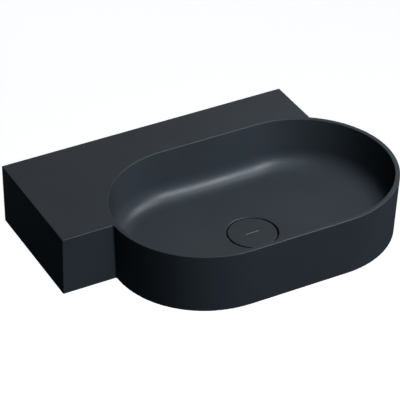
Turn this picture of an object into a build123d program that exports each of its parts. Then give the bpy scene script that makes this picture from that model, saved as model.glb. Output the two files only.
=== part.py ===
"""Wall-hung washbasin with a shelf deck, an obround bowl and a push-open waste.

The basin is one ceramic casting: a rectangular deck that stands against the wall, and an
obround bowl that grows out of its front and runs past its right end. Deck and rim are flush.
A ceramic cover closes the waste in the bowl's floor. Two hanger bolts hold the basin up.

Units are millimetres. The origin is midway between the hanger bolts, on the wall's plane.
+X runs to the right along the wall, +Y goes into the wall, +Z is up.
"""

import math
import os

from build123d import *

# ---- basin: outside ----
HEIGHT = 110.0
RIM_Z = HEIGHT / 2
BASE_Z = -HEIGHT / 2
DECK_LEFT = -345.0
DECK_RIGHT = 185.0
BOWL_Y = -241.0             # the bowl's long centre line, which the deck's front face lies on
BOWL_HALF_STRAIGHT = 91.0   # from the bowl's middle to the centre of each round end
BOWL_RADIUS = 164.0
OUTER_DRAFT = 2.8           # degrees that the bowl's skirt and the deck's front lean inwards
CORNER_RADIUS = 1.6
TOP_EDGE_RADIUS = 1.3
BASE_EDGE_RADIUS = 1.2
INNER_CORNER_RADIUS = 3.0   # where the deck meets the bowl's skirt

# ---- basin: bowl ----
RIM_THICKNESS = 8.3
INNER_DRAFT = 3.0
BOWL_DEPTH = 98.0           # from the rim to the floor beside the waste
BOWL_FILLET = 33.0          # between wall and floor
FLOOR_FALL = 3.0            # degrees that the floor falls towards the waste
FLOOR_Z = RIM_Z - BOWL_DEPTH

# ---- basin: walls of the casting ----
SHELL = 9.0                 # bowl
SKIRT = 8.0                 # outside wall round the bowl
DECK_TOP = 10.0
DECK_WALL = 10.0
BACK_WALL = 14.0
CASTING_RADIUS = 7.0        # inside corners of the hollow below
RIB = 9.0
RIB_DROP = 70.0             # how far the ribs reach down from the deck's underside
REAR_RIB_X = 62.0           # two ribs, left and right, from the back wall to the bowl
SIDE_RIB_Y = -128.0         # one rib from the left wall to the bowl
WALL_RELIEF = 2.0           # the back face is relieved between its border and the bolt pads
WALL_BORDER = 18.0

# ---- waste recess ----
WASTE_Y = BOWL_Y
RECESS_RADIUS = 44.0
RECESS_FLOOR_Z = FLOOR_Z - 10.0
RECESS_EDGE_RADIUS = 1.8
WASTE_BORE_RADIUS = 23.0
BOSS_RADIUS = 51.0
BOSS_Z = RECESS_FLOOR_Z - 6.5

# ---- wall fixing ----
BOLT_SPACING = 280.0
BOLT_X = (-BOLT_SPACING / 2, BOLT_SPACING / 2)
BOLT_RADIUS = 5.0           # major radius of the thread that goes into the wall plug
BOLT_PITCH_RADIUS = 4.513   # pitch radius of the M10 thread on the basin's side
BOLT_THREAD_START = -1.0    # the plug's thread starts just before the wall's plane
BOLT_HOLE_RADIUS = 10.0
BOLT_PAD_RADIUS = 23.0
BOLT_PAD = 2.0              # how far the seat round a hole stands proud inside
BOLT_IN_WALL = 65.0
BOLT_INSIDE = 50.0
BOLT_POINT = 9.0
BOLT_HEX = 7.0              # across flats, for driving the bolt
BOLT_HEX_LENGTH = 8.0
BUSH_WALL_GAP = 0.4         # between bush and ceramic
BUSH_COLLAR_RADIUS = 16.0
BUSH_COLLAR = 3.0
BOLT_CLEARANCE = 0.25
FIX_WASHER_RADIUS = 14.0
FIX_WASHER = 2.5
FIX_NUT_FLATS = 17.0
FIX_NUT = 8.0

# ---- push-open waste, barrel and seals ----
G_THREAD_RADIUS = 20.955    # G 1 1/4, major radius
FLANGE_RADIUS = 32.0
FLANGE = 1.6
FLANGE_GASKET = 1.2
FLANGE_BOTTOM_Z = RECESS_FLOOR_Z + FLANGE_GASKET
FLANGE_TOP_Z = FLANGE_BOTTOM_Z + FLANGE
WASTE_END_Z = -105.0
WASTE_INNER_RADIUS = 18.2
MOUTH_RADIUS = 21.0
MOUTH_DEPTH = 3.6
OUTLET_TOP_Z = -78.0        # a groove above this height parts the trap's thread from the nut's
OUTLET_GROOVE = 2.5
OUTLET_GROOVE_DEPTH = 1.2
BARREL_GAP = 0.3            # between the threaded barrel and what slides over it
UNDER_GASKET = 3.0
UNDER_GASKET_RADIUS = 31.0
UNDER_GASKET_NOSE = 3.0
SLIP_WASHER = 1.5
SLIP_WASHER_RADIUS = 30.0
BACK_NUT = 9.0
BACK_NUT_FLATS = 52.0
BRIDGE_TOP_Z = -91.0
BRIDGE = 5.0
BRIDGE_ARM = 4.5
HUB_RADIUS = 7.5

# ---- push-open waste, cartridge ----
HOUSING_RADIUS = 9.5
HOUSING_INNER_RADIUS = 7.6
HOUSING_TOP_Z = -60.5
HOUSING_FLOOR = 1.6
HOUSING_SPIGOT_RADIUS = 4.0
HOUSING_SPIGOT = 6.5
CAP = 3.0                   # how far the screwed cap reaches into the housing
CAP_FLANGE = 1.5
STEM_RADIUS = 3.0
STEM_GAP = 0.2
STEM_TOP_Z = -51.5
STEM_END_Z = -85.0
COLLAR_TOP_Z = -76.8
COLLAR = 1.8
COLLAR_RADIUS = 6.6
ROTOR_TOP_Z = -73.0
ROTOR_RADIUS = 6.9
ROTOR_INNER_RADIUS = 3.4
ROTOR_GAP = 0.3
LATCH_TEETH = 8             # notches in the rotor and in the cap above it
LATCH_NOTCH = 1.4
CLIP = 0.8
CLIP_RADIUS = 5.0
CLIP_GROOVE = 0.5
SPRING_RADIUS = 5.2
SPRING_WIRE_RADIUS = 0.5
SPRING_TURNS = 6.5

# ---- plug that the waste pushes up ----
COVER_RADIUS = 41.5
COVER = 4.0
COVER_EDGE_RADIUS = 1.2
COVER_TOP_Z = FLOOR_Z
COVER_BOTTOM_Z = COVER_TOP_Z - COVER
MARK_LENGTH = 26.0          # plain engraved bar in the cover's middle
MARK_WIDTH = 1.8
MARK_DEPTH = 0.4
BOND = 0.4                  # silicone between cover and carrier
BOND_RADIUS = 29.0
CARRIER_RADIUS = 30.0
CARRIER = 1.2
CARRIER_BOSS_RADIUS = 6.5
CARRIER_BOSS_Z = -57.5
SEAL_RING_RADIUS = 16.0     # the carrier's ring that holds the lip seal
SEAL_RING_Z = -52.4
SEAL_LIP_RADIUS = 19.5
SEAL_LIP_TOP_Z = -50.3
SEAL_LIP_FOOT = 1.5

# ---- faces that stack against each other ----
BUSH_SEAT = -BACK_WALL - BOLT_PAD
WASHER_SEAT = BUSH_SEAT - BUSH_COLLAR
NUT_SEAT = WASHER_SEAT - FIX_WASHER
CARRIER_TOP_Z = COVER_BOTTOM_Z - BOND
CARRIER_BOTTOM_Z = CARRIER_TOP_Z - CARRIER
BACK_NUT_TOP_Z = BOSS_Z - UNDER_GASKET - SLIP_WASHER


def lean(angle):
    """Sideways shift per millimetre of height on a wall drafted by angle degrees."""
    return math.tan(math.radians(angle))


def at_waste(shape):
    """The shape, drawn round the Z axis, moved to the waste's axis."""
    return Pos(0, WASTE_Y, 0) * shape


def disc(radius, z_low, z_high):
    return Pos(0, 0, (z_low + z_high) / 2) * Cylinder(radius, z_high - z_low)


def ring(radius, hole, z_low, z_high):
    return disc(radius, z_low, z_high) - disc(hole, z_low - 1, z_high + 1)


def turned(points):
    """A solid of revolution about Z from a closed outline of (radius, z) points."""
    outline = make_face(Polyline(*[(r, 0, z) for r, z in points], close=True))
    return revolve(outline, Axis.Z)


def hexagon_prism(flats, z_low, z_high):
    """A hexagonal bar with its corners chamfered as on a nut."""
    across_corners = flats / math.cos(math.radians(30))
    blank = extrude(RegularPolygon(flats / 2, 6, major_radius=False), z_high - z_low)
    cut = chamfer(disc(across_corners / 2 + 0.2, z_low, z_high).edges().filter_by(GeomType.CIRCLE), 1.2)
    return Pos(0, 0, z_low) * blank & cut


def obround(profile):
    """An obround solid about the bowl's long axis, from a closed outline of (radius, z) points."""
    section = make_face(Polyline(*[(0, r, z) for r, z in profile], close=True))
    middle = extrude(section, BOWL_HALF_STRAIGHT, dir=(1, 0, 0))
    middle += extrude(section, BOWL_HALF_STRAIGHT, dir=(-1, 0, 0))
    middle += mirror(middle, Plane.XZ)
    end = revolve(Rot(0, 0, -90) * section, Axis.Z, 360)
    whole = middle + Pos(BOWL_HALF_STRAIGHT, 0, 0) * end + Pos(-BOWL_HALF_STRAIGHT, 0, 0) * end
    return Pos(0, BOWL_Y, 0) * whole


def drafted_obround(top_radius, angle, z_top, z_low):
    """An obround block whose radius at the rim's height is top_radius, leaning in by angle."""
    high = top_radius - (RIM_Z - z_top) * lean(angle)
    low = top_radius - (RIM_Z - z_low) * lean(angle)
    return obround([(0, z_low), (low, z_low), (high, z_top), (0, z_top)])


def deck_block(wall, top, back, z_low):
    """The deck's block, shrunk by a wall, a top and a back thickness."""
    shift = lean(OUTER_DRAFT)
    z_top = RIM_Z - top
    front_top = BOWL_Y + wall + (RIM_Z - z_top) * shift
    front_low = BOWL_Y + wall + (RIM_Z - z_low) * shift
    left = DECK_LEFT + wall
    outline = [(left, -back, z_low), (left, front_low, z_low), (left, front_top, z_top), (left, -back, z_top)]
    side = make_face(Polyline(*outline, close=True))
    return extrude(side, DECK_RIGHT - DECK_LEFT - 2 * wall, dir=(1, 0, 0))


def bowl_tool(grow):
    """The bowl's hollow, grown by a wall thickness: walls, a floor that falls to the waste, a fillet."""
    top_z = RIM_Z + 5
    floor = FLOOR_Z - grow
    radius = BOWL_RADIUS - RIM_THICKNESS + grow / math.cos(math.radians(INNER_DRAFT))
    walls = drafted_obround(radius, INNER_DRAFT, top_z, floor - 5)
    reach = 320.0
    level = RECESS_RADIUS - 2
    rise = (reach - level) * lean(FLOOR_FALL)
    above = turned([(0, floor), (level, floor), (reach, floor + rise), (reach, top_z), (0, top_z)])
    tool = walls & at_waste(above)
    low_edges = tool.edges().filter_by(lambda e: e.bounding_box().max.Z < floor + 15)
    foot = [e for e in low_edges if max(e.bounding_box().size) > 3 * RECESS_RADIUS]
    return fillet(foot, BOWL_FILLET + grow)


def casting_hollow():
    """The hollow below the deck and round the bowl, open downwards, less the ribs that cross it."""
    below = BASE_Z - 5
    deck = deck_block(DECK_WALL, DECK_TOP, BACK_WALL, below)
    inside_edges = deck.edges().filter_by(lambda e: e.bounding_box().max.Z > below + 1)
    deck = fillet(inside_edges, CASTING_RADIUS)
    skirt_inside = drafted_obround(BOWL_RADIUS - SKIRT, OUTER_DRAFT, RIM_Z - DECK_TOP, below)
    hollow = deck + skirt_inside - bowl_tool(SHELL)
    rib_mid = RIM_Z - DECK_TOP - RIB_DROP / 2
    for x in (-REAR_RIB_X, REAR_RIB_X):
        hollow -= Pos(x, BOWL_Y / 4, rib_mid) * Box(RIB, -BOWL_Y / 2, RIB_DROP)
    side_rib_length = -DECK_LEFT - BOWL_HALF_STRAIGHT
    side_rib_x = DECK_LEFT + side_rib_length / 2
    hollow -= Pos(side_rib_x, SIDE_RIB_Y, rib_mid) * Box(side_rib_length, RIB, RIB_DROP)
    for x in BOLT_X:
        hollow -= Pos(x, -BACK_WALL, 0) * Rot(90, 0, 0) * Cylinder(BOLT_PAD_RADIUS, 2 * BOLT_PAD)
    return hollow


def wall_relief():
    """The shallow pocket in the back face, round the bolt pads."""
    width = DECK_RIGHT - DECK_LEFT - 2 * WALL_BORDER
    height = HEIGHT - 2 * WALL_BORDER
    middle = (DECK_RIGHT + DECK_LEFT) / 2
    pocket = Pos(middle, 0, 0) * Box(width, 2 * WALL_RELIEF, height)
    pocket = fillet(pocket.edges().filter_by(Axis.Y), CASTING_RADIUS)
    for x in BOLT_X:
        pocket -= Pos(x, 0, 0) * Rot(90, 0, 0) * Cylinder(BOLT_PAD_RADIUS, 3 * WALL_RELIEF)
    return pocket


def outer_block():
    """Deck and bowl as one block, with the outside edges eased."""
    block = deck_block(0, 0, 0, BASE_Z) + drafted_obround(BOWL_RADIUS, OUTER_DRAFT, RIM_Z, BASE_Z)
    upright = [e for e in block.edges() if e.bounding_box().size.Z > HEIGHT - 1]
    near_left_joint = Vector(-BOWL_HALF_STRAIGHT - BOWL_RADIUS, BOWL_Y, 0)
    right_joint_y = BOWL_Y + math.sqrt(BOWL_RADIUS**2 - (DECK_RIGHT - BOWL_HALF_STRAIGHT) ** 2)
    near_right_joint = Vector(DECK_RIGHT, right_joint_y, 0)
    joints = []
    corners = []
    for edge in upright:
        middle = edge.center()
        if min((middle - near_left_joint).length, (middle - near_right_joint).length) < 12:
            joints.append(edge)
        elif min(abs(middle.X - DECK_LEFT), abs(middle.X - DECK_RIGHT)) < 1:
            corners.append(edge)
    block = fillet(joints, INNER_CORNER_RADIUS)
    spots = [e.center() for e in corners]
    corners = [e for e in block.edges() if any((e.center() - s).length < 1 for s in spots)]
    block = fillet(corners, CORNER_RADIUS)
    return fillet(block.faces().sort_by(Axis.Z)[0].edges(), BASE_EDGE_RADIUS)


def basin():
    body = outer_block() - bowl_tool(0)
    body = fillet(body.faces().sort_by(Axis.Z)[-1].edges(), TOP_EDGE_RADIUS)
    body -= casting_hollow()
    body += at_waste(disc(BOSS_RADIUS, BOSS_Z, FLOOR_Z - 1))
    body -= at_waste(disc(RECESS_RADIUS, RECESS_FLOOR_Z, RIM_Z))
    body -= at_waste(disc(WASTE_BORE_RADIUS, BOSS_Z - 5, RIM_Z))
    for x in BOLT_X:
        body -= Pos(x, 0, 0) * Rot(90, 0, 0) * Cylinder(BOLT_HOLE_RADIUS, 4 * BACK_WALL)
    body -= wall_relief()
    lip = [
        e
        for e in body.edges()
        if abs(e.center().Z - FLOOR_Z) < 2
        and abs(e.bounding_box().size.X - 2 * RECESS_RADIUS) < 0.5
        and e.bounding_box().max.Z > RECESS_FLOOR_Z + 5
    ]
    return fillet(lip, RECESS_EDGE_RADIUS)


def at_bolts(piece):
    """Two copies of a piece drawn along Z from the wall's plane, +Z into the wall."""
    along_y = Rot(-90, 0, 0) * piece
    return Compound([Pos(x, 0, 0) * along_y for x in BOLT_X])


def hanger_bolts():
    """Double-ended screws: wood thread into the wall plug, M10 thread through the basin."""
    drive = extrude(RegularPolygon(BOLT_HEX / 2, 6, major_radius=False), BOLT_HEX_LENGTH)
    shank = turned(
        [
            (0, BOLT_IN_WALL),
            (1.2, BOLT_IN_WALL),
            (BOLT_RADIUS, BOLT_IN_WALL - BOLT_POINT),
            (BOLT_RADIUS, BOLT_THREAD_START),
            (BOLT_PITCH_RADIUS, BOLT_THREAD_START),
            (BOLT_PITCH_RADIUS, 1 - BOLT_INSIDE),
            (BOLT_PITCH_RADIUS - 1, -BOLT_INSIDE),
            (0, -BOLT_INSIDE),
        ]
    )
    return at_bolts(shank + Pos(0, 0, -BOLT_INSIDE - BOLT_HEX_LENGTH) * drive)


def bolt_bushes():
    hole = BOLT_RADIUS + BOLT_CLEARANCE
    sleeve = ring(BOLT_HOLE_RADIUS - BUSH_WALL_GAP, hole, BUSH_SEAT, -WALL_RELIEF)
    collar = ring(BUSH_COLLAR_RADIUS, hole, WASHER_SEAT, BUSH_SEAT)
    return at_bolts(sleeve + collar)


def fixing_washers():
    return at_bolts(ring(FIX_WASHER_RADIUS, BOLT_RADIUS + BOLT_CLEARANCE, NUT_SEAT, WASHER_SEAT))


def fixing_nuts():
    nut = hexagon_prism(FIX_NUT_FLATS, NUT_SEAT - FIX_NUT, NUT_SEAT)
    return at_bolts(nut - disc(BOLT_PITCH_RADIUS, NUT_SEAT - FIX_NUT - 1, NUT_SEAT + 1))


def waste_body():
    """Flanged, threaded barrel with a three-armed bridge that carries the cartridge."""
    inner = WASTE_INNER_RADIUS
    barrel = turned(
        [
            (inner, WASTE_END_Z),
            (G_THREAD_RADIUS - 1, WASTE_END_Z),
            (G_THREAD_RADIUS, WASTE_END_Z + 1),
            (G_THREAD_RADIUS, OUTLET_TOP_Z),
            (G_THREAD_RADIUS - OUTLET_GROOVE_DEPTH, OUTLET_TOP_Z),
            (G_THREAD_RADIUS - OUTLET_GROOVE_DEPTH, OUTLET_TOP_Z + OUTLET_GROOVE),
            (G_THREAD_RADIUS, OUTLET_TOP_Z + OUTLET_GROOVE),
            (G_THREAD_RADIUS, FLANGE_BOTTOM_Z),
            (FLANGE_RADIUS, FLANGE_BOTTOM_Z),
            (FLANGE_RADIUS, FLANGE_TOP_Z - 0.8),
            (FLANGE_RADIUS - 1.2, FLANGE_TOP_Z),
            (MOUTH_RADIUS, FLANGE_TOP_Z),
            (inner, FLANGE_TOP_Z - MOUTH_DEPTH),
        ]
    )
    bridge_low = BRIDGE_TOP_Z - BRIDGE
    bridge = disc(HUB_RADIUS, bridge_low, BRIDGE_TOP_Z)
    for arm in range(3):
        half = Pos(inner / 2 + 1, 0, BRIDGE_TOP_Z - BRIDGE / 2) * Box(inner + 2, BRIDGE_ARM, BRIDGE)
        bridge += Rot(0, 0, 90 + 120 * arm) * half
    bridge -= disc(HOUSING_SPIGOT_RADIUS, bridge_low - 1, BRIDGE_TOP_Z + 1)
    return at_waste(barrel + bridge)


def flange_gasket():
    return at_waste(ring(FLANGE_RADIUS - 1.5, WASTE_BORE_RADIUS, RECESS_FLOOR_Z, FLANGE_BOTTOM_Z))


def under_gasket():
    """Rubber ring with a tapered nose that centres the barrel in the ceramic's bore."""
    hole = G_THREAD_RADIUS + BARREL_GAP
    return at_waste(
        turned(
            [
                (hole, BOSS_Z - UNDER_GASKET),
                (UNDER_GASKET_RADIUS, BOSS_Z - UNDER_GASKET),
                (UNDER_GASKET_RADIUS, BOSS_Z),
                (WASTE_BORE_RADIUS - 0.2, BOSS_Z),
                (WASTE_BORE_RADIUS - 0.9, BOSS_Z + UNDER_GASKET_NOSE),
                (hole, BOSS_Z + UNDER_GASKET_NOSE),
            ]
        )
    )


def slip_washer():
    low = BACK_NUT_TOP_Z
    return at_waste(ring(SLIP_WASHER_RADIUS, G_THREAD_RADIUS + BARREL_GAP, low, low + SLIP_WASHER))


def back_nut():
    nut = hexagon_prism(BACK_NUT_FLATS, BACK_NUT_TOP_Z - BACK_NUT, BACK_NUT_TOP_Z)
    hole = disc(G_THREAD_RADIUS, BACK_NUT_TOP_Z - BACK_NUT - 1, BACK_NUT_TOP_Z + 1)
    return at_waste(nut - hole)


def cartridge_housing():
    shell = ring(HOUSING_RADIUS, HOUSING_INNER_RADIUS, BRIDGE_TOP_Z + HOUSING_FLOOR, HOUSING_TOP_Z)
    floor = disc(HOUSING_RADIUS, BRIDGE_TOP_Z, BRIDGE_TOP_Z + HOUSING_FLOOR)
    spigot = disc(HOUSING_SPIGOT_RADIUS, BRIDGE_TOP_Z - HOUSING_SPIGOT, BRIDGE_TOP_Z)
    return at_waste(shell + floor + spigot)


def latch_notches(radius, z):
    """Radial slots across a face at height z, which the latch's teeth stand between."""
    slot = Pos(radius, 0, z) * Box(2.4, LATCH_NOTCH, 2 * LATCH_NOTCH)
    return [Rot(0, 0, 360 * tooth / LATCH_TEETH) * slot for tooth in range(LATCH_TEETH)]


def cartridge_cap():
    """Cap screwed into the housing, which guides the stem and turns the rotor as it rises."""
    hole = STEM_RADIUS + STEM_GAP
    cap = ring(HOUSING_INNER_RADIUS, hole, HOUSING_TOP_Z - CAP, HOUSING_TOP_Z)
    cap += ring(HOUSING_RADIUS, hole, HOUSING_TOP_Z, HOUSING_TOP_Z + CAP_FLANGE)
    return at_waste(cap - latch_notches(HOUSING_INNER_RADIUS, HOUSING_TOP_Z - CAP))


def return_spring():
    low = BRIDGE_TOP_Z + HOUSING_FLOOR + SPRING_WIRE_RADIUS
    high = COLLAR_TOP_Z - COLLAR - SPRING_WIRE_RADIUS
    path = Helix(pitch=(high - low) / SPRING_TURNS, height=high - low, radius=SPRING_RADIUS)
    wire = sweep(Plane(path @ 0, z_dir=path % 0) * Circle(SPRING_WIRE_RADIUS), path, is_frenet=True)
    return at_waste(Pos(0, 0, low) * wire)


def plunger():
    """Stem with the collar that the spring pushes on and a groove for the rotor's clip."""
    clip_low = ROTOR_TOP_Z + ROTOR_GAP
    stem = disc(STEM_RADIUS, STEM_END_Z, STEM_TOP_Z)
    stem += disc(COLLAR_RADIUS, COLLAR_TOP_Z - COLLAR, COLLAR_TOP_Z)
    return at_waste(stem - ring(STEM_RADIUS + 1, STEM_RADIUS - CLIP_GROOVE, clip_low, clip_low + CLIP))


def rotor_clip():
    """Split ring that keeps the rotor on the stem."""
    low = ROTOR_TOP_Z + ROTOR_GAP
    clip = ring(CLIP_RADIUS, STEM_RADIUS - CLIP_GROOVE, low, low + CLIP)
    return at_waste(clip - Pos(CLIP_RADIUS, 0, low + CLIP / 2) * Box(2 * CLIP_RADIUS, 2.4, 2 * CLIP))


def latch_rotor():
    """Ring with ratchet notches in its top face, which turns a step at every push."""
    rotor = ring(ROTOR_RADIUS, ROTOR_INNER_RADIUS, COLLAR_TOP_Z + ROTOR_GAP, ROTOR_TOP_Z)
    return at_waste(rotor - latch_notches(ROTOR_RADIUS, ROTOR_TOP_Z))


def drain_cover():
    cover = fillet(disc(COVER_RADIUS, COVER_BOTTOM_Z, COVER_TOP_Z).edges().group_by(Axis.Z)[-1], COVER_EDGE_RADIUS)
    mark = extrude(SlotOverall(MARK_LENGTH, MARK_WIDTH), MARK_DEPTH)
    return at_waste(cover - Pos(0, 0, COVER_TOP_Z - MARK_DEPTH) * mark)


def cover_bond():
    return at_waste(ring(BOND_RADIUS, BOND_RADIUS - 9, CARRIER_TOP_Z, COVER_BOTTOM_Z))


def cover_carrier():
    """Plate under the cover, with a ring for the seal and a boss for the stem."""
    plate = disc(CARRIER_RADIUS, CARRIER_BOTTOM_Z, CARRIER_TOP_Z)
    plate += ring(SEAL_RING_RADIUS, SEAL_RING_RADIUS - 2, SEAL_RING_Z, CARRIER_BOTTOM_Z)
    plate += disc(CARRIER_BOSS_RADIUS, CARRIER_BOSS_Z, CARRIER_BOTTOM_Z)
    return at_waste(plate - disc(STEM_RADIUS, CARRIER_BOSS_Z - 1, STEM_TOP_Z))


def plug_seal():
    """Lip seal round the carrier's ring, shaped to the waste's mouth."""
    return at_waste(
        turned(
            [
                (SEAL_RING_RADIUS, SEAL_RING_Z),
                (SEAL_RING_RADIUS + SEAL_LIP_FOOT, SEAL_RING_Z),
                (SEAL_LIP_RADIUS, SEAL_LIP_TOP_Z),
                (SEAL_LIP_RADIUS, CARRIER_BOTTOM_Z),
                (SEAL_RING_RADIUS, CARRIER_BOTTOM_Z),
            ]
        )
    )


PIECES = [
    basin,
    hanger_bolts,
    bolt_bushes,
    fixing_washers,
    fixing_nuts,
    waste_body,
    flange_gasket,
    under_gasket,
    slip_washer,
    back_nut,
    cartridge_housing,
    cartridge_cap,
    return_spring,
    plunger,
    rotor_clip,
    latch_rotor,
    drain_cover,
    cover_bond,
    cover_carrier,
    plug_seal,
]

os.makedirs("parts", exist_ok=True)
for make in PIECES:
    export_step(make(), f"parts/{make.__name__}.step")
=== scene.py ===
"""Looks of the wall-hung washbasin: camera, studio, materials, threads, spring and inlay."""

import math

import bmesh
import bpy
from mathutils import Matrix, Vector


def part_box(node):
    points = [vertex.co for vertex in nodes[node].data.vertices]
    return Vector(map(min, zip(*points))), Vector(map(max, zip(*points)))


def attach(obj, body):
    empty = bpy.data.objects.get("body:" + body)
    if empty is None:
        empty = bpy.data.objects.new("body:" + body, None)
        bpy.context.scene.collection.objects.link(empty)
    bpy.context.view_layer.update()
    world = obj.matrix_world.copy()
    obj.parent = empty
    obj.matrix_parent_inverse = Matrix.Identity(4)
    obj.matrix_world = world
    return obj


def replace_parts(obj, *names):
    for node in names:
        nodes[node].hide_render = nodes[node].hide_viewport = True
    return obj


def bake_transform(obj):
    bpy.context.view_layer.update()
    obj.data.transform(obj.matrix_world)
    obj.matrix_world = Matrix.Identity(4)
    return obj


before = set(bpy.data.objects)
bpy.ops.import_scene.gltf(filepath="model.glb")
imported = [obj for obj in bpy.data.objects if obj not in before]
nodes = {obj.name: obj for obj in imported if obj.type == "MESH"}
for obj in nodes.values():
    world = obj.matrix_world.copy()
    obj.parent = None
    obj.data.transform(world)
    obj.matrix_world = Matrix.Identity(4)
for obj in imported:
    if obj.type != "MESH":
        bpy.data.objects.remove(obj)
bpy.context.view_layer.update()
scene = bpy.context.scene

MM = 0.001

# ---- places read from the frame ----
basin_low, basin_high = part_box("basin")
cover_low, cover_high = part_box("drain_cover")
bolt_low, bolt_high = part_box("hanger_bolts")
waste_low, waste_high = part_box("waste_body")
spring_low, spring_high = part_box("return_spring")
WASTE_AXIS = Vector(((cover_low.x + cover_high.x) / 2, (cover_low.y + cover_high.y) / 2, 0.0))
COVER_TOP = cover_high.z
BOLT_RADIUS = bolt_high.z
BOLT_XS = (bolt_low.x + BOLT_RADIUS, bolt_high.x - BOLT_RADIUS)

# ---- camera ----
AZIMUTH = math.radians(-27.75)
ELEVATION = math.radians(34.5)
DISTANCE = 3.629
LENS = 195.6
AIM = Vector((-0.0621, -0.1713, 0.0))


def make_camera():
    data = bpy.data.cameras.new("camera")
    data.lens = LENS
    data.sensor_width = 36.0
    data.clip_end = 50.0
    camera = bpy.data.objects.new("camera", data)
    scene.collection.objects.link(camera)
    back = Vector(
        (
            math.sin(AZIMUTH) * math.cos(ELEVATION),
            -math.cos(AZIMUTH) * math.cos(ELEVATION),
            math.sin(ELEVATION),
        )
    )
    camera.location = AIM + back * DISTANCE
    camera.rotation_mode = "QUATERNION"
    camera.rotation_quaternion = (-back).to_track_quat("-Z", "Y")
    scene.camera = camera


# ---- shader helpers ----
class Shader:
    """A material's node tree, with short calls that add and join nodes."""

    def __init__(self, name):
        self.material = bpy.data.materials.new(name)
        self.material.use_nodes = True
        self.tree = self.material.node_tree
        self.surface = self.tree.nodes["Principled BSDF"]
        spot = self.add("ShaderNodeTexCoord")
        self.place = spot.outputs["Object"]
        self.facing = spot.outputs["Normal"]

    def add(self, kind, inputs=None, **settings):
        node = self.tree.nodes.new(kind)
        for key, value in settings.items():
            setattr(node, key, value)
        for key, value in (inputs or {}).items():
            self.feed(node.inputs[key], value)
        return node

    def feed(self, socket, value):
        if isinstance(value, bpy.types.NodeSocket):
            self.tree.links.new(value, socket)
        else:
            socket.default_value = value

    def set(self, **inputs):
        """Sets the surface shader's sockets; underscores in a name stand for spaces."""
        for key, value in inputs.items():
            self.feed(self.surface.inputs[key.replace("_", " ")], value)
        return self

    def maths(self, operation, a, b=0.0):
        return self.add("ShaderNodeMath", {0: a, 1: b}, operation=operation).outputs[0]

    def parts(self, vector):
        """The X, Y and Z of a vector."""
        return self.add("ShaderNodeSeparateXYZ", {0: vector}).outputs

    def length(self, x, y):
        squares = [self.maths("MULTIPLY", value, value) for value in (x, y)]
        return self.maths("SQRT", self.maths("ADD", *squares))

    def from_waste(self, x, y):
        """How far a point is from the waste's axis."""
        across = self.maths("SUBTRACT", x, WASTE_AXIS.x)
        return self.length(across, self.maths("SUBTRACT", y, WASTE_AXIS.y))

    def noise(self, scale, detail=2.0, rough=0.5):
        settings = {"Vector": self.place, "Scale": scale, "Detail": detail, "Roughness": rough}
        return self.add("ShaderNodeTexNoise", settings).outputs["Fac"]

    def spread(self, factor, low, high, out_low=0.0, out_high=1.0):
        """Maps a stretch of values onto another, clamped, with soft ends."""
        values = {"Value": factor, "From Min": low, "From Max": high, "To Min": out_low, "To Max": out_high}
        return self.add("ShaderNodeMapRange", values, interpolation_type="SMOOTHSTEP").outputs["Result"]

    def mix(self, factor, a, b):
        node = self.add("ShaderNodeMix", data_type="RGBA")
        for socket, value in zip((node.inputs[0], node.inputs[6], node.inputs[7]), (factor, a, b)):
            self.feed(socket, value)
        return node.outputs[2]

    def bump(self, height, distance, normal=None):
        inputs = {"Height": height, "Distance": distance, "Strength": 1.0}
        if normal is not None:
            inputs["Normal"] = normal
        return self.add("ShaderNodeBump", inputs).outputs["Normal"]


def grey(value, blue=0.0):
    return (value * (1 - blue), value, value * (1 + blue), 1.0)


def shade(colour, factor):
    return tuple(channel * factor for channel in colour[:3]) + (1.0,)


# ---- materials: ceramic ----
GLAZE_COLOUR = (0.068, 0.080, 0.094, 1.0)
GLAZE_ROUGHNESS = 0.34
CLAY_COLOUR = (0.40, 0.37, 0.33, 1.0)
SPONGE_DEPTH = 0.25


def glaze_coat(shader):
    """Colour, roughness and normal of the satin glaze: faint clouds, orange peel, a fine grain."""
    cloud = shader.spread(shader.noise(11.0, 3.0), 0.3, 0.7)
    colour = shader.mix(cloud, shade(GLAZE_COLOUR, 0.96), shade(GLAZE_COLOUR, 1.04))
    rough = shader.spread(shader.noise(45.0, 3.0), 0.3, 0.7, GLAZE_ROUGHNESS - 0.02, GLAZE_ROUGHNESS + 0.02)
    peel = shader.bump(shader.noise(160.0, 2.0), 0.02 * MM)
    colour, rough = gap_shade(shader, colour, rough)
    return colour, rough, shader.bump(shader.noise(1500.0, 2.0), 0.004 * MM, peel)


# the gap round the cover, in metres and with a margin on both sides
GAP_INNER_RADIUS = 0.0405
RECESS_RADIUS = 0.0445

# its shade sets in between these millimetres below the cover's top; there the glaze keeps this
# share of its colour and is this much rougher
GAP_SHADE_START = 0.8
GAP_SHADE_FULL = 1.8
GAP_COLOUR_SHARE = 0.1
GAP_ROUGHER = 0.5


def gap_shade(shader, colour, rough):
    """Darkens and dulls the sides of the gap, since the main lights cast no shadow into it."""
    x, y, z = shader.parts(shader.place)
    out = shader.from_waste(x, y)
    past_cover = shader.maths("GREATER_THAN", out, GAP_INNER_RADIUS)
    beside = shader.maths("MULTIPLY", past_cover, shader.maths("LESS_THAN", out, RECESS_RADIUS))
    deep = shader.spread(shader.maths("SUBTRACT", COVER_TOP, z), GAP_SHADE_START * MM, GAP_SHADE_FULL * MM)
    inside = shader.maths("MULTIPLY", beside, deep)
    dark = shader.mix(inside, colour, shade(GLAZE_COLOUR, GAP_COLOUR_SHARE))
    return dark, shader.maths("ADD", rough, shader.maths("MULTIPLY", inside, GAP_ROUGHER))


def cover_glaze():
    shader = Shader("satin_black_glaze_cover")
    colour, rough, normal = glaze_coat(shader)
    shader.set(Base_Color=colour, Roughness=rough, Normal=normal)
    return shader.material


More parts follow.
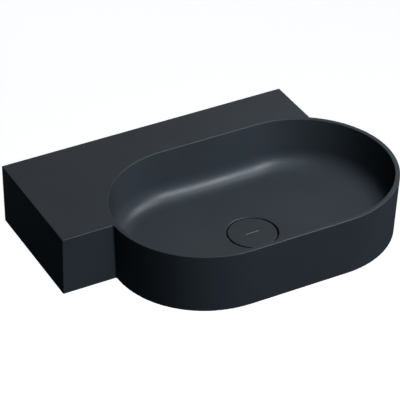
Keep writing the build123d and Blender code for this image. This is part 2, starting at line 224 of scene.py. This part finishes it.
# the basin's main sizes, in metres, that its glaze follows
DECK_RIGHT_X = 0.185
BASE_Z = -0.055
BOWL_HALF_STRAIGHT = 0.091
BOWL_RADIUS = basin_high.x - BOWL_HALF_STRAIGHT
RIM_THICKNESS = 0.0083
CAVITY_RADIUS = BOWL_RADIUS - RIM_THICKNESS
CAVITY_SLOPE = 0.052
FLOOR_LEVEL_RADIUS = 0.042
FLOOR_FILLET = 0.033
RECESS_DEPTH = 0.0105
RECESS_FLOOR = COVER_TOP - RECESS_DEPTH

# allowances for the outer faces' lean, and how near the top, back and foot a face must be
SKIRT_LEAN = 0.006
FRONT_LEAN = 0.003
TOP_REACH = 0.001
BACK_REACH = 0.003
FOOT_REACH = 0.001

# over which depths bare clay sets in, and over which turn a face counts as square on
CLAY_BELOW_OUTSIDE = (0.0035, 0.0045)
CLAY_BELOW_BOWL = (0.004, 0.005)
FACING_SQUARELY = (0.75, 0.9)


def bare_clay(shader):
    """1 where the casting has no glaze: the back, the foot's rim, the hollow and the waste's bore."""
    x, y, z = shader.parts(shader.place)
    _, turned_y, turned_z = shader.parts(shader.facing)
    across = shader.maths("SUBTRACT", y, WASTE_AXIS.y)
    past_straight = shader.maths("SUBTRACT", shader.maths("ABSOLUTE", x), BOWL_HALF_STRAIGHT)
    along = shader.maths("MAXIMUM", past_straight, 0.0)
    from_line = shader.length(along, across)
    from_waste = shader.length(shader.maths("SUBTRACT", x, WASTE_AXIS.x), across)

    # how far inside the outer surface, for the deck and for the bowl
    in_bowl = shader.maths("SUBTRACT", BOWL_RADIUS - SKIRT_LEAN, from_line)
    from_left = shader.maths("SUBTRACT", x, basin_low.x)
    from_right = shader.maths("SUBTRACT", DECK_RIGHT_X, x)
    from_front = shader.maths("SUBTRACT", across, FRONT_LEAN)
    from_back = shader.maths("MULTIPLY", y, -1.0)
    sides = shader.maths("MINIMUM", from_left, from_right)
    ends = shader.maths("MINIMUM", from_front, from_back)
    in_deck = shader.maths("MINIMUM", sides, ends)
    inside = shader.maths("MAXIMUM", in_bowl, in_deck)
    below_top = shader.maths("SUBTRACT", basin_high.z - TOP_REACH, z)
    inside = shader.maths("MINIMUM", inside, below_top)

    # how far outside the bowl's cavity, whose floor rises from the waste and ends in a fillet
    drop = shader.maths("SUBTRACT", basin_high.z, z)
    wall_at = shader.maths("SUBTRACT", CAVITY_RADIUS, shader.maths("MULTIPLY", drop, CAVITY_SLOPE))
    past_wall = shader.maths("ADD", shader.maths("SUBTRACT", from_line, wall_at), FLOOR_FILLET)
    out = shader.maths("MAXIMUM", shader.maths("SUBTRACT", from_waste, FLOOR_LEVEL_RADIUS), 0.0)
    floor_at = shader.maths("ADD", shader.maths("MULTIPLY", out, CAVITY_SLOPE), COVER_TOP)
    past_floor = shader.maths("ADD", shader.maths("SUBTRACT", floor_at, z), FLOOR_FILLET)
    beyond_wall = shader.maths("MAXIMUM", past_wall, 0.0)
    beyond_floor = shader.maths("MAXIMUM", past_floor, 0.0)
    corner = shader.length(beyond_wall, beyond_floor)
    inner = shader.maths("MINIMUM", shader.maths("MAXIMUM", past_wall, past_floor), 0.0)
    off_cavity = shader.maths("SUBTRACT", shader.maths("ADD", corner, inner), FLOOR_FILLET)

    # the waste's recess is glazed, its bore isn't
    near_waste = shader.maths("LESS_THAN", from_waste, RECESS_RADIUS)
    in_recess = shader.maths("MULTIPLY", near_waste, shader.maths("GREATER_THAN", z, RECESS_FLOOR))
    below_outside = shader.spread(inside, *CLAY_BELOW_OUTSIDE)
    below_bowl = shader.spread(off_cavity, *CLAY_BELOW_BOWL)
    hollow = shader.maths("MINIMUM", below_outside, below_bowl)
    hollow = shader.maths("MULTIPLY", hollow, shader.maths("SUBTRACT", 1.0, in_recess))

    # faces wiped clean before firing
    backward = shader.spread(turned_y, *FACING_SQUARELY)
    back = shader.maths("MULTIPLY", backward, shader.maths("GREATER_THAN", y, -BACK_REACH))
    down = shader.spread(shader.maths("MULTIPLY", turned_z, -1.0), *FACING_SQUARELY)
    foot = shader.maths("MULTIPLY", down, shader.maths("LESS_THAN", z, BASE_Z + FOOT_REACH))
    return shader.maths("MAXIMUM", hollow, shader.maths("MAXIMUM", back, foot))


def basin_ceramic():
    """Glaze on all that shows, and bare clay with casting marks where it was wiped or never sprayed."""
    shader = Shader("satin_black_glaze")
    colour, rough, normal = glaze_coat(shader)
    bare = bare_clay(shader)
    stain = shader.spread(shader.noise(26.0, 5.0, 0.6), 0.35, 0.7)
    clay = shader.mix(stain, shade(CLAY_COLOUR, 0.86), shade(CLAY_COLOUR, 1.08))
    speck = shader.spread(shader.noise(420.0, 2.0), 0.66, 0.74)
    clay = shader.mix(speck, clay, shade(CLAY_COLOUR, 0.35))
    rough = shader.maths("ADD", rough, shader.maths("MULTIPLY", bare, 0.55))
    sponge = shader.maths("MULTIPLY", shader.noise(240.0, 5.0, 0.65), bare)
    colour = shader.mix(bare, colour, clay)
    normal = shader.bump(sponge, SPONGE_DEPTH * MM, normal)
    shader.set(Base_Color=colour, Roughness=rough, Normal=normal)
    return shader.material


def enamel():
    """Pale grey inlay, a little uneven where it was wiped into the engraving."""
    shader = Shader("grey_enamel")
    colour = shader.mix(shader.noise(900.0, 3.0), grey(0.30, 0.08), grey(0.42, 0.08))
    shader.set(Base_Color=colour, Roughness=shader.spread(shader.noise(700.0), 0.3, 0.7, 0.35, 0.5))
    shader.set(Normal=shader.bump(shader.noise(1200.0, 2.0), 0.01 * MM))
    return shader.material


# ---- materials: hardware ----
def moulded(name, colour, roughness, swing=0.05, depth=0.01):
    """Moulded stock: slight mottling, uneven gloss and a spark-eroded grain, depth in millimetres."""
    shader = Shader(name)
    tone = shader.mix(shader.noise(70.0, 3.0), shade(colour, 0.88), colour)
    rough = shader.spread(shader.noise(260.0, 3.0), 0.3, 0.7, roughness - swing, roughness + swing)
    shader.set(Base_Color=tone, Roughness=rough, Normal=shader.bump(shader.noise(1600.0, 2.0), depth * MM))
    return shader


def rubber(name, colour):
    """Moulded rubber with a bloom of pale dust in patches."""
    shader = moulded(name, colour, 0.6, 0.06, 0.02)
    bloom = shader.spread(shader.noise(55.0, 4.0), 0.45, 0.75, 0.0, 0.35)
    shader.set(Base_Color=shader.mix(bloom, colour, grey(0.075)))
    return shader


def metal(name, colour, roughness, swing, ring_pitch=0.0, ring_depth=0.0):
    """Bare or plated metal, with the rings that a lathe leaves where a pitch in millimetres is given."""
    shader = Shader(name)
    tone = shader.mix(shader.noise(90.0, 4.0), shade(colour, 0.9), colour)
    rough = shader.spread(shader.noise(380.0, 4.0), 0.3, 0.7, roughness - swing, roughness + swing)
    shader.set(Base_Color=tone, Roughness=rough, Metallic=1.0)
    normal = shader.bump(shader.noise(900.0, 3.0), 0.003 * MM)
    if ring_pitch:
        x, y, z = shader.parts(shader.place)
        out = shader.from_waste(x, y)
        travel = shader.maths("MULTIPLY", shader.maths("ADD", out, z), math.tau / (ring_pitch * MM))
        wobble = shader.maths("MULTIPLY", shader.noise(120.0), 3.0)
        groove = shader.maths("SINE", shader.maths("ADD", travel, wobble))
        normal = shader.bump(groove, ring_depth * MM, normal)
    shader.set(Normal=normal)
    return shader


def plated_zinc():
    """Zinc with the faint yellow and blue cast of its passivation."""
    shader = metal("zinc_plated_steel", grey(0.55), 0.34, 0.07)
    cast = shader.spread(shader.noise(160.0, 3.0), 0.35, 0.65)
    shader.set(Base_Color=shader.mix(cast, (0.50, 0.53, 0.58, 1.0), (0.60, 0.57, 0.48, 1.0)))
    return shader


def cover(node, material):
    """Gives a CAD node this material in place of its plain one."""
    for slot in nodes[node].material_slots:
        slot.link = "OBJECT"
        slot.material = material


# ---- mesh helpers ----
SEGMENTS = 72
BOLT_SEGMENTS = 36


def on_circle(radius, angle, z):
    """A point in metres from a radius and height in millimetres and an angle about Z."""
    return (radius * MM * math.cos(angle), radius * MM * math.sin(angle), z * MM)


def turn(maker, outline, segments):
    """A surface of revolution about Z from an outline of (radius, z) in millimetres."""
    rows = []
    for radius, z in outline:
        if radius == 0:
            rows.append([maker.verts.new((0, 0, z * MM))] * segments)
        else:
            angles = [math.tau * step / segments for step in range(segments)]
            rows.append([maker.verts.new(on_circle(radius, angle, z)) for angle in angles])
    for low, high in zip(rows, rows[1:]):
        for step in range(segments):
            after = (step + 1) % segments
            corners = [low[step], low[after], high[after], high[step]]
            maker.faces.new(dict.fromkeys(corners))


# one turn of a thread: how far along the pitch, and how high between root and crest
COARSE_THREAD = ((0.0, 0.0), (0.12, 0.0), (0.44, 1.0), (0.56, 1.0), (0.88, 0.0))
WOOD_THREAD = ((0.0, 0.0), (0.55, 0.0), (0.74, 1.0), (0.79, 1.0))


def thread(maker, z_low, z_high, pitch, shape, radii, segments, runout):
    """A helical thread's skin from z_low to z_high; radii(z) gives root and crest in millimetres."""

    def height(phase):
        phase %= 1.0
        marks = list(shape) + [(1.0, shape[0][1])]
        for (a, low), (b, high) in zip(marks, marks[1:]):
            if phase <= b:
                return low + (high - low) * (phase - a) / (b - a)
        return 0.0

    turns = math.ceil((z_high - z_low) / pitch)
    rows = [z_low + pitch * (whole + part) for whole in range(-1, turns + 1) for part, _ in shape]
    grid = []
    for row in rows:
        line = []
        for step in range(segments + 1):
            share = step / segments
            z = min(max(row + pitch * share, z_low), z_high)
            root, crest = radii(z)
            fade = min(1.0, (z - z_low) / runout, (z_high - z) / runout)
            radius = root + (crest - root) * fade * height((z - z_low) / pitch - share)
            angle = math.tau * share
            line.append(maker.verts.new(on_circle(radius, angle, z)))
        grid.append(line)
    for low, high in zip(grid, grid[1:]):
        for step in range(segments):
            maker.faces.new((low[step], low[step + 1], high[step + 1], high[step]))


def block(maker, size, matrix, bevel):
    """A bevelled block, its size and bevel in millimetres."""
    made = bmesh.ops.create_cube(maker, size=1.0)["verts"]
    bmesh.ops.scale(maker, verts=made, vec=Vector(size) * MM)
    bmesh.ops.transform(maker, verts=made, matrix=matrix)
    edges = {edge for vert in made for edge in vert.link_edges}
    bmesh.ops.bevel(maker, geom=list(edges), offset=bevel * MM, segments=2, affect="EDGES")


def finish_piece(maker, name, material, place, body, crease=35.0):
    """Closes a mesh's seams, shades it and puts it in the scene; a piece that has a body rides on it."""
    bmesh.ops.remove_doubles(maker, verts=maker.verts, dist=0.0005 * MM)
    bmesh.ops.dissolve_degenerate(maker, edges=maker.edges, dist=0.0005 * MM)
    bmesh.ops.recalc_face_normals(maker, faces=maker.faces)
    bmesh.ops.transform(maker, verts=maker.verts, matrix=place)
    mesh = bpy.data.meshes.new(name)
    maker.to_mesh(mesh)
    maker.free()
    mesh.shade_smooth()
    mesh.set_sharp_from_angle(angle=math.radians(crease))
    mesh.materials.append(material)
    piece = bpy.data.objects.new(name, mesh)
    scene.collection.objects.link(piece)
    if body:
        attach(piece, body)
    return piece


# ---- hanger bolts ----
BOLT_TIP = bolt_high.y / MM
BOLT_END = bolt_low.y / MM
DRIVE = 8.0
DRIVE_RADIUS = 4.04
MACHINE_PITCH = 1.5
MACHINE_ROOT = 4.08
WOOD_PITCH = 4.5
WOOD_ROOT = 3.4
SHANK = 4.6
TAPER = 9.0


def hanger_bolt(name, x, material):
    """Wood thread with a point into the wall, a short plain shank, and an M10 thread with a hexagon end."""
    crest = BOLT_RADIUS / MM
    shoulder = BOLT_END + DRIVE

    def wood(z):
        share = min(1.0, (BOLT_TIP - z) / TAPER)
        return 0.25 + (WOOD_ROOT - 0.25) * share, 0.35 + (crest - 0.35) * share

    def machine(z):
        return MACHINE_ROOT, min(crest, crest - 0.9 + z - shoulder)

    maker = bmesh.new()
    corner = DRIVE_RADIUS
    drive = [(0, BOLT_END), (corner - 0.5, BOLT_END), (corner, BOLT_END + 0.5)]
    drive += [(corner, shoulder + 1), (0, shoulder + 1)]
    turn(maker, drive, 6)
    shank = [(WOOD_ROOT, 1.5), (SHANK, 0.5), (SHANK, -5.5), (MACHINE_ROOT, -6.0)]
    turn(maker, [(0, shoulder), (MACHINE_ROOT, shoulder)], BOLT_SEGMENTS)
    thread(maker, shoulder, -6.0, MACHINE_PITCH, COARSE_THREAD, machine, BOLT_SEGMENTS, 0.6)
    turn(maker, shank[::-1], BOLT_SEGMENTS)
    thread(maker, 1.5, BOLT_TIP - 0.2, WOOD_PITCH, WOOD_THREAD, wood, BOLT_SEGMENTS, 2.5)
    turn(maker, [(wood(BOLT_TIP - 0.2)[0], BOLT_TIP - 0.2), (0, BOLT_TIP)], BOLT_SEGMENTS)
    place = Matrix.Translation((x, 0, 0)) @ Matrix.Rotation(math.radians(-90), 4, "X")
    piece = finish_piece(maker, name, material, place, "basin")
    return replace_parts(piece, "hanger_bolts")


# ---- waste ----
PIPE_PITCH = 2.309
PIPE_DEPTH = 1.479
BORE = 18.2
MOUTH = 21.0
MOUTH_DEPTH = 3.6
FLANGE = 1.6
FLANGE_RADIUS = (waste_high.x - WASTE_AXIS.x) / MM
PIPE_CREST = 20.955
PIPE_ROOT = PIPE_CREST - PIPE_DEPTH
WASTE_END = waste_low.z / MM
GROOVE = (WASTE_END + 27.0, WASTE_END + 29.5)
BRIDGE_TOP = WASTE_END + 14.0
BRIDGE = 5.0
ARM = 4.5
HUB = 7.5
SPIGOT = 4.1


def waste_barrel(material):
    """The waste's flange and barrel with its G 1 1/4 thread, and the bridge that carries the cartridge."""
    top = waste_high.z / MM
    end = WASTE_END
    neck = top - FLANGE
    maker = bmesh.new()

    def pipe(z):
        return PIPE_ROOT, min(PIPE_CREST, PIPE_CREST - 1.2 + z - end)

    foot = end + 0.3
    turn(maker, [(BORE, top - MOUTH_DEPTH), (BORE, end), (PIPE_ROOT, end), (PIPE_ROOT, foot)], SEGMENTS)
    thread(maker, foot, GROOVE[0], PIPE_PITCH, COARSE_THREAD, pipe, SEGMENTS, 1.0)
    turn(maker, [(PIPE_ROOT, GROOVE[0]), (PIPE_ROOT, GROOVE[1])], SEGMENTS)
    thread(maker, GROOVE[1], neck - 2.0, PIPE_PITCH, COARSE_THREAD, pipe, SEGMENTS, 1.0)
    flange = [
        (PIPE_ROOT, neck - 2.0),
        (PIPE_ROOT, neck),
        (FLANGE_RADIUS, neck),
        (FLANGE_RADIUS, top - 0.8),
        (FLANGE_RADIUS - 0.35, top - 0.28),
        (FLANGE_RADIUS - 1.2, top),
        (MOUTH + 0.3, top),
        (MOUTH - 0.1, top - 0.3),
        (BORE, top - MOUTH_DEPTH),
    ]
    turn(maker, flange, SEGMENTS)

    low = BRIDGE_TOP - BRIDGE
    hub = [(SPIGOT, low), (HUB - 0.5, low), (HUB, low + 0.5), (HUB, BRIDGE_TOP - 0.5)]
    hub += [(HUB - 0.5, BRIDGE_TOP), (SPIGOT, BRIDGE_TOP), (SPIGOT, low)]
    turn(maker, hub, SEGMENTS)
    reach = BORE + 0.4 - (HUB - 0.6)
    for arm in range(3):
        spin = Matrix.Rotation(math.radians(90 + 120 * arm), 4, "Z")
        shift = Matrix.Translation(Vector((HUB - 0.6 + reach / 2, 0, BRIDGE_TOP - BRIDGE / 2)) * MM)
        block(maker, (reach, ARM, BRIDGE), spin @ shift, 0.5)
    place = Matrix.Translation(WASTE_AXIS)
    piece = finish_piece(maker, "waste_barrel", material, place, "basin")
    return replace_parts(piece, "waste_body")


# ---- return spring ----
SPRING_WIRE = 0.5
SPRING_TURNS = 6.5
SPRING_CLOSED_TURNS = 0.75
SPRING_CLOSED_PITCH = 1.05
SPRING_STEPS = 28
WIRE_SIDES = 8
SPRING_MARGIN = 0.02


def spring_coil(material):
    """Coil spring with closed ends, put in place of the return spring's CAD part."""
    low = spring_low.z / MM + SPRING_WIRE + SPRING_MARGIN
    high = spring_high.z / MM - SPRING_WIRE - SPRING_MARGIN
    radius = (spring_high.x - WASTE_AXIS.x) / MM - SPRING_WIRE
    closed = SPRING_CLOSED_TURNS * SPRING_CLOSED_PITCH

    def height(turned):
        left = SPRING_TURNS - turned
        if turned < SPRING_CLOSED_TURNS:
            return low + turned * SPRING_CLOSED_PITCH
        if left < SPRING_CLOSED_TURNS:
            return high - left * SPRING_CLOSED_PITCH
        share = (turned - SPRING_CLOSED_TURNS) / (SPRING_TURNS - 2 * SPRING_CLOSED_TURNS)
        return low + closed + share * (high - low - 2 * closed)

    maker = bmesh.new()
    rows = []
    for step in range(round(SPRING_TURNS * SPRING_STEPS) + 1):
        turned = step / SPRING_STEPS
        out = Vector((math.cos(math.tau * turned), math.sin(math.tau * turned), 0.0))
        row = []
        for side in range(WIRE_SIDES):
            angle = math.tau * side / WIRE_SIDES
            point = out * (radius + SPRING_WIRE * math.cos(angle))
            point.z = height(turned) + SPRING_WIRE * math.sin(angle)
            row.append(maker.verts.new(point * MM))
        rows.append(row)
    for first, second in zip(rows, rows[1:]):
        for side in range(WIRE_SIDES):
            after = (side + 1) % WIRE_SIDES
            maker.faces.new((first[side], first[after], second[after], second[side]))
    maker.faces.new(rows[0])
    maker.faces.new(rows[-1])
    place = Matrix.Translation(WASTE_AXIS)
    piece = finish_piece(maker, "spring_coil", material, place, None, 50.0)
    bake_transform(piece)
    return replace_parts(piece, "return_spring")


# ---- inlay in the cover's engraved bar ----
INLAY_LENGTH = 25.4
INLAY_WIDTH = 1.5
INLAY = 0.32
INLAY_SINK = 0.06


def mark_inlay(material):
    """A rounded bar of enamel, slightly domed, that fills the engraving almost to the top."""
    maker = bmesh.new()
    half = INLAY_LENGTH / 2 - INLAY_WIDTH / 2
    levels = [(1.0, 0.0), (1.0, 0.7), (0.86, 0.92), (0.5, 1.0)]
    rows = []
    for shrink, level in levels:
        radius = INLAY_WIDTH / 2 * shrink
        z = COVER_TOP / MM - INLAY_SINK - INLAY * (1 - level)
        line = []
        for side in (1, -1):
            for step in range(13):
                angle = math.radians(-90 + 15 * step) + (0 if side == 1 else math.pi)
                x = side * half + radius * math.cos(angle)
                line.append(maker.verts.new(Vector((x, radius * math.sin(angle), z)) * MM))
        rows.append(line)
    for low, high in zip(rows, rows[1:]):
        for step in range(len(low)):
            after = (step + 1) % len(low)
            maker.faces.new((low[step], low[after], high[after], high[step]))
    maker.faces.new(rows[0])
    maker.faces.new(rows[-1])
    place = Matrix.Translation(WASTE_AXIS)
    return finish_piece(maker, "mark_inlay", material, place, "plug")


# ---- studio ----
FLOOR_Z = -0.85
LIGHT_CENTRE = Vector((-0.0545, -0.21, 0.0))
# The ambient light and the key lights' powers and colours began as the result of a least-squares
# fit. The ambient light, key_wide, rear and left still hold it, rounded. The others were then
# adjusted.
AMBIENT = 0.0107
AMBIENT_COLOUR = (0.43, 0.73, 1.0, 1.0)

# direction and distance from the basin, width in metres, power in watts, colour
KEY_LIGHTS = {
    "key": ((0.41, -0.61, 0.68), 4.0, 0.7, 17.0, (0.90, 0.92, 1.00)),
    "key_high": ((0.37, -0.56, 0.74), 4.0, 0.9, 12.0, (0.96, 0.95, 1.00)),
    "key_left": ((0.24, -0.76, 0.60), 4.0, 0.9, 16.5, (0.90, 0.94, 1.00)),
    "key_soft": ((0.41, -0.65, 0.64), 4.0, 2.0, 9.0, (0.90, 0.92, 1.00)),
    "key_wide": ((0.24, -0.66, 0.71), 4.0, 6.0, 34.0, (0.67, 0.86, 1.00)),
    "rear": ((0.41, 0.71, 0.57), 4.0, 3.0, 2.7, (1.00, 0.80, 0.62)),
    "left": ((-0.22, -0.60, 0.77), 4.0, 2.4, 4.8, (0.90, 1.00, 0.85)),
    "near": ((0.70, -0.12, 0.71), 1.1, 0.6, 3.5, (0.96, 0.96, 0.95)),
}
FILL_LIGHTS = {
    "fill_back": ((0.15, 0.92, -0.30), 4.0, 3.0, 40.0, (1.00, 1.00, 1.00)),
    "fill_under": ((0.10, 0.35, -0.93), 4.0, 3.0, 25.0, (1.00, 1.00, 1.00)),
}


def make_floor():
    mesh = bpy.data.meshes.new("floor")
    maker = bmesh.new()
    bmesh.ops.create_circle(maker, cap_ends=True, radius=12.0, segments=96)
    maker.to_mesh(mesh)
    maker.free()
    floor = bpy.data.objects.new("floor", mesh)
    scene.collection.objects.link(floor)
    floor.location.z = FLOOR_Z
    shader = Shader("pale_floor")
    shader.set(Base_Color=grey(0.85), Roughness=0.9, Emission_Color=grey(1.0), Emission_Strength=0.8)
    mesh.materials.append(shader.material)
    floor.visible_diffuse = False
    floor.visible_glossy = False
    floor.visible_shadow = False


def make_light(name, shadow, direction, distance, size, power, colour):
    """A round soft light that hangs in a direction from the basin and faces it."""
    data = bpy.data.lights.new(name, "AREA")
    data.shape = "DISK"
    data.use_shadow = shadow
    data.size = size
    data.energy = power
    data.color = colour
    light = bpy.data.objects.new(name, data)
    scene.collection.objects.link(light)
    towards = Vector(direction).normalized()
    light.location = LIGHT_CENTRE + towards * distance
    light.rotation_mode = "QUATERNION"
    light.rotation_quaternion = (-towards).to_track_quat("-Z", "Y")


def make_studio():
    make_floor()
    for name, facts in KEY_LIGHTS.items():
        make_light(name, False, *facts)
    for name, facts in FILL_LIGHTS.items():
        make_light(name, True, *facts)
    world = bpy.data.worlds.new("studio")
    world.use_nodes = True
    tree = world.node_tree
    ambient = tree.nodes["Background"]
    ambient.inputs["Color"].default_value = AMBIENT_COLOUR
    ambient.inputs["Strength"].default_value = AMBIENT
    white = tree.nodes.new("ShaderNodeBackground")
    white.inputs["Color"].default_value = grey(1.0)
    seen = tree.nodes.new("ShaderNodeLightPath")
    mix = tree.nodes.new("ShaderNodeMixShader")
    tree.links.new(seen.outputs["Is Camera Ray"], mix.inputs[0])
    tree.links.new(ambient.outputs[0], mix.inputs[1])
    tree.links.new(white.outputs[0], mix.inputs[2])
    tree.links.new(mix.outputs[0], tree.nodes["World Output"].inputs["Surface"])
    scene.world = world
    scene.view_settings.view_transform = "Standard"
    scene.cycles.glossy_bounces = 0  # no mirrored light between the bowl's walls


# ---- the scene ----
make_camera()
make_studio()

CERAMIC = basin_ceramic()
COVER_CERAMIC = cover_glaze()
RUBBER = rubber("black_rubber", grey(0.02)).material
ZINC = plated_zinc().material
STEEL = metal("stainless_steel", grey(0.5), 0.28, 0.05, 0.35, 0.004).material
SPRING_STEEL = metal("spring_steel", grey(0.45), 0.3, 0.06).material
CHROME = metal("chromed_brass", grey(0.7, 0.02), 0.12, 0.04).material
BRASS = metal("bare_brass", (0.62, 0.43, 0.16, 1.0), 0.28, 0.06, 0.3, 0.004).material
NYLON = moulded("white_nylon", grey(0.72, -0.03), 0.45).material
ACETAL = moulded("grey_acetal", grey(0.07), 0.4).material
WHITE_ACETAL = moulded("white_acetal", grey(0.7, -0.04), 0.35).material
SILICONE = moulded("clear_silicone", grey(0.5), 0.3).material

FINISHES = {
    "basin": CERAMIC,
    "drain_cover": COVER_CERAMIC,
    "fixing_washers": ZINC,
    "fixing_nuts": ZINC,
    "bolt_bushes": NYLON,
    "slip_washer": NYLON,
    "back_nut": CHROME,
    "flange_gasket": RUBBER,
    "under_gasket": RUBBER,
    "plug_seal": RUBBER,
    "cartridge_housing": ACETAL,
    "cartridge_cap": ACETAL,
    "latch_rotor": WHITE_ACETAL,
    "rotor_clip": SPRING_STEEL,
    "cover_carrier": STEEL,
    "plunger": BRASS,
    "cover_bond": SILICONE,
}
for node_name, material in FINISHES.items():
    cover(node_name, material)

hanger_bolt("hanger_bolt_left", BOLT_XS[0], ZINC)
hanger_bolt("hanger_bolt_right", BOLT_XS[1], ZINC)
waste_barrel(CHROME)
spring_coil(SPRING_STEEL)
mark_inlay(enamel())
